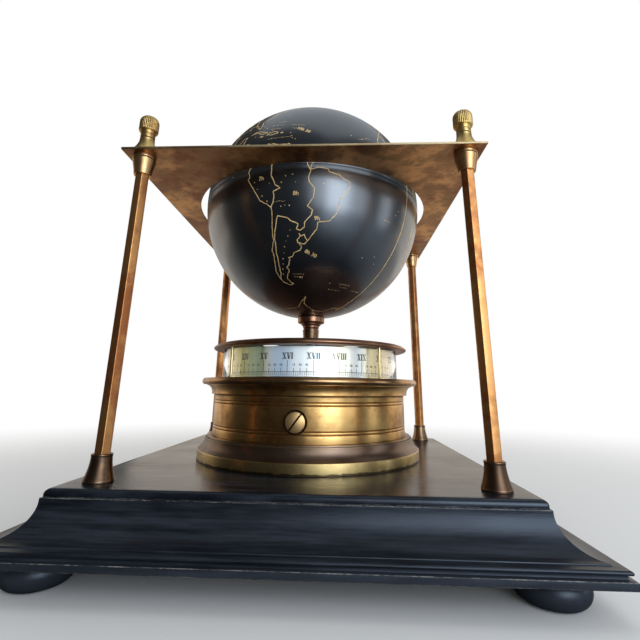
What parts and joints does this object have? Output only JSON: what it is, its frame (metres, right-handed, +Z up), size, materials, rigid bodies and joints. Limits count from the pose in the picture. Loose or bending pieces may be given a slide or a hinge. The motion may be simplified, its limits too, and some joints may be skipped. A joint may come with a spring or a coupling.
{
  "type": "world clock",
  "caption": "Table clock with a black globe turning in a square brass frame on hexagonal columns, over a drum with a glazed hour ring, on a black wooden stand.",
  "frame": {"origin": "on the ground under the middle of the stand", "axes": "+Z up along the globe's spindle, -Y out of the front, +X to the right seen from the front"},
  "size_m": [0.239, 0.239, 0.2762],
  "materials": {
    "ebonised_wood": "black, semi-gloss",
    "bare_wood": "unfinished",
    "satin_brass": "satin, turned",
    "aged_brass": "browned with age",
    "pale_brass": "bright gilt",
    "silvered_metal": "silvered, brushed",
    "black_lacquer": "semi-gloss lacquer with gilt lines",
    "steel": "turned",
    "clear_glass": "clear",
    "black_plastic": "moulded",
    "battery_jacket": "plain sleeve"
  },
  "bodies": {
    "stand": {"top_board": "ebonised_wood", "bottom_board": "bare_wood", "plinth_moulding_front": "ebonised_wood", "plinth_moulding_right": "ebonised_wood", "plinth_moulding_back": "ebonised_wood", "plinth_moulding_left": "ebonised_wood", "bun_foot_1": "ebonised_wood", "bun_foot_2": "ebonised_wood", "bun_foot_3": "ebonised_wood", "bun_foot_4": "ebonised_wood", "base_socket_1": "aged_brass", "base_socket_2": "aged_brass", "base_socket_3": "aged_brass", "base_socket_4": "aged_brass", "column_1": "satin_brass", "column_2": "satin_brass", "column_3": "satin_brass", "column_4": "satin_brass", "top_ferrule_1": "aged_brass", "top_ferrule_2": "aged_brass", "top_ferrule_3": "aged_brass", "top_ferrule_4": "aged_brass", "top_plate": "aged_brass", "finial_nut_1": "satin_brass", "finial_nut_2": "satin_brass", "finial_nut_3": "satin_brass", "finial_nut_4": "satin_brass", "drum_foot_ring": "aged_brass", "locating_ring": "aged_brass", "drum_case": "satin_brass", "case_screw_1": "pale_brass", "case_screw_2": "pale_brass", "case_screw_3": "pale_brass", "chamber_glass": "clear_glass", "chamber_post_1": "pale_brass", "chamber_post_2": "pale_brass", "chamber_post_3": "pale_brass", "chamber_post_4": "pale_brass", "cap": "aged_brass", "spindle_sleeve": "aged_brass", "footstep_bearing": "pale_brass", "idler_stud": "steel", "movement_case": "black_plastic", "movement_nut": "pale_brass", "battery": "battery_jacket"},
    "globe": {"globe_lower_shell": "black_lacquer", "globe_upper_shell": "black_lacquer", "spindle": "steel", "globe_collar": "aged_brass", "pole_nut": "pale_brass", "globe_wheel": "pale_brass"},
    "ring": {"hour_ring": "silvered_metal", "ring_carrier": "pale_brass", "ring_wheel": "pale_brass"},
    "pinion": {"hour_pinion": "steel"},
    "idler": {"idler_wheel": "pale_brass"},
    "knob": {"setting_knob": "black_plastic"}
  },
  "joints": [
    {"name": "globe_spin", "type": "hinge", "parent": "stand", "child": "globe", "pos_m": [0, 0, 0.1], "axis": [0, 0, 1], "continuous": true},
    {"name": "ring_spin", "type": "hinge", "parent": "stand", "child": "ring", "pos_m": [0, 0, 0.09], "axis": [0, 0, 1], "continuous": true},
    {"name": "pinion_spin", "type": "hinge", "parent": "stand", "child": "pinion", "pos_m": [0, 0.018, 0.085], "axis": [0, 0, 1], "continuous": true},
    {"name": "idler_spin", "type": "hinge", "parent": "stand", "child": "idler", "pos_m": [0.01046, 0.01211, 0.088], "axis": [0, 0, 1], "continuous": true},
    {"name": "knob_spin", "type": "hinge", "parent": "stand", "child": "knob", "pos_m": [0, 0.018, 0.058], "axis": [0, 0, 1], "continuous": true}
  ],
  "couplings": [
    {"joint": "ring_spin", "follows": "globe_spin", "ratio": -1},
    {"joint": "pinion_spin", "follows": "globe_spin", "ratio": -2},
    {"joint": "idler_spin", "follows": "globe_spin", "ratio": 1},
    {"joint": "knob_spin", "follows": "globe_spin", "ratio": -24}
  ]
}
